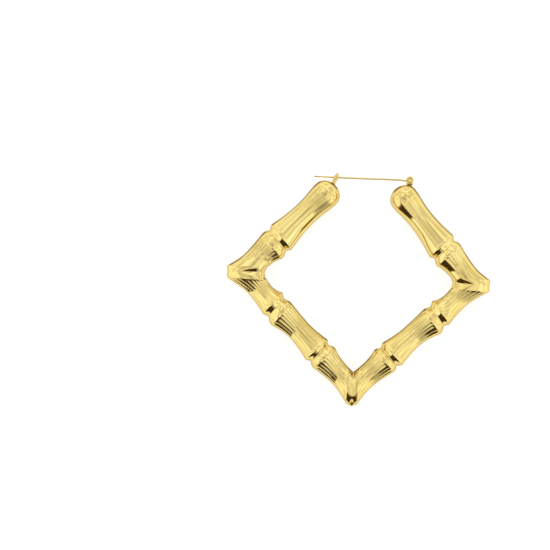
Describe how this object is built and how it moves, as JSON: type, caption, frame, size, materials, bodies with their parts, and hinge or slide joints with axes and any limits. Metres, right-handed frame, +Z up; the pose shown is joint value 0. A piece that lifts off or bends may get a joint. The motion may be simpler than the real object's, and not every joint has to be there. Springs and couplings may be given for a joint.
{
  "type": "bamboo hoop earring",
  "caption": "Diamond-shaped hollow hoop earring struck like bamboo cane, with a hinged ear wire across its open top that drops into a V catch.",
  "frame": {"origin": "middle of the bounding box's bottom face, on the surface that the earring lies on", "axes": "+X to the hinge side along the longest extent, +Y from the pointed bottom to the ear wire, +Z up from the surface to the front of the hoop"},
  "size_m": [0.0907, 0.0802, 0.0092],
  "materials": {
    "polished_gold": "mirror polish, pale yellow gold plate",
    "wire_gold": "drawn wire, gold plated, slightly duller"
  },
  "bodies": {
    "hoop": {"bamboo_hoop": "polished_gold", "hinge_pin": "polished_gold"},
    "wire": {"ear_wire": "wire_gold"}
  },
  "joints": [
    {"name": "wire_hinge", "type": "hinge", "parent": "hoop", "child": "wire", "pos_m": [0.01575, 0.03851, 0.0046], "axis": [0, 0, -1], "range_deg": [0, 85]}
  ]
}
